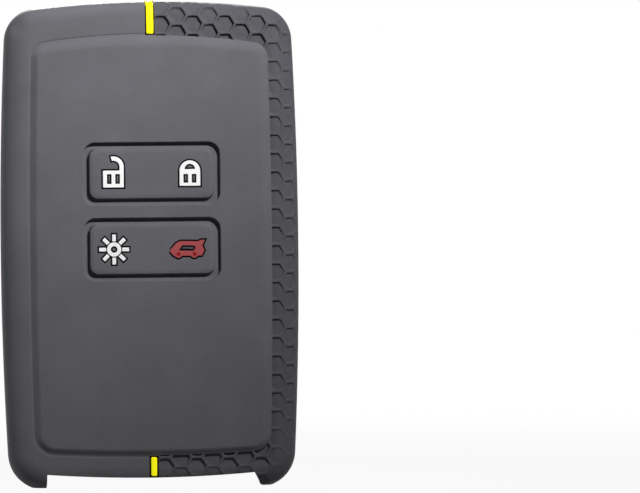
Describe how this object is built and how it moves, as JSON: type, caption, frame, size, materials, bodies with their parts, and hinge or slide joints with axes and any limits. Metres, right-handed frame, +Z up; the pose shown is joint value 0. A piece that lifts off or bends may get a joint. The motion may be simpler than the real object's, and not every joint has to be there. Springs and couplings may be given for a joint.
{
  "type": "key fob cover",
  "caption": "Soft moulded cover for a card-shaped car key, open at the foot, with a honeycomb grip on its right half, bright inlaid stripes, rocking button pads and a hexagonal back window.",
  "frame": {"origin": "middle of the footprint, on the plane of the leg soles", "axes": "+Z up along the card's long way, +Y from the button face to the back, +X towards the honeycomb grip"},
  "size_m": [0.064, 0.013, 0.1041],
  "materials": {
    "silicone_shell": "matt, smooth moulded silicone",
    "silicone_grip": "matt, moulded honeycomb",
    "silicone_yellow": "matt bright yellow",
    "silicone_web": "matt, thin and flexible",
    "silicone_pad": "matt, smooth",
    "silicone_white": "matt white",
    "silicone_red": "matt red"
  },
  "bodies": {
    "cover": {"sleeve": "silicone_shell", "honeycomb_grip": "silicone_grip", "crest_stripe": "silicone_yellow", "rear_stripe": "silicone_yellow", "front_stripe": "silicone_yellow"},
    "upper_web_ring": {"upper_web": "silicone_web"},
    "upper_rocker": {"upper_pad": "silicone_pad", "open_lock_inlay": "silicone_white", "closed_lock_inlay": "silicone_white"},
    "lower_web_ring": {"lower_web": "silicone_web"},
    "lower_rocker": {"lower_pad": "silicone_pad", "lamp_inlay": "silicone_white", "boot_inlay": "silicone_red"}
  },
  "joints": [
    {"name": "upper_press", "type": "slide", "parent": "cover", "child": "upper_web_ring", "axis": [0, 1, 0], "range_m": [0, 0.0006], "stiffness_N_per_m": 1500},
    {"name": "upper_rock", "type": "hinge", "parent": "upper_web_ring", "child": "upper_rocker", "pos_m": [0, -0.0056, 0.06707], "axis": [0, 0, 1], "range_deg": [-2.5, 2.5], "stiffness_Nm_per_rad": 0.15},
    {"name": "lower_press", "type": "slide", "parent": "cover", "child": "lower_web_ring", "axis": [0, 1, 0], "range_m": [0, 0.0006], "stiffness_N_per_m": 1500},
    {"name": "lower_rock", "type": "hinge", "parent": "lower_web_ring", "child": "lower_rocker", "pos_m": [0, -0.0056, 0.05092], "axis": [0, 0, 1], "range_deg": [-2.5, 2.5], "stiffness_Nm_per_rad": 0.15}
  ]
}
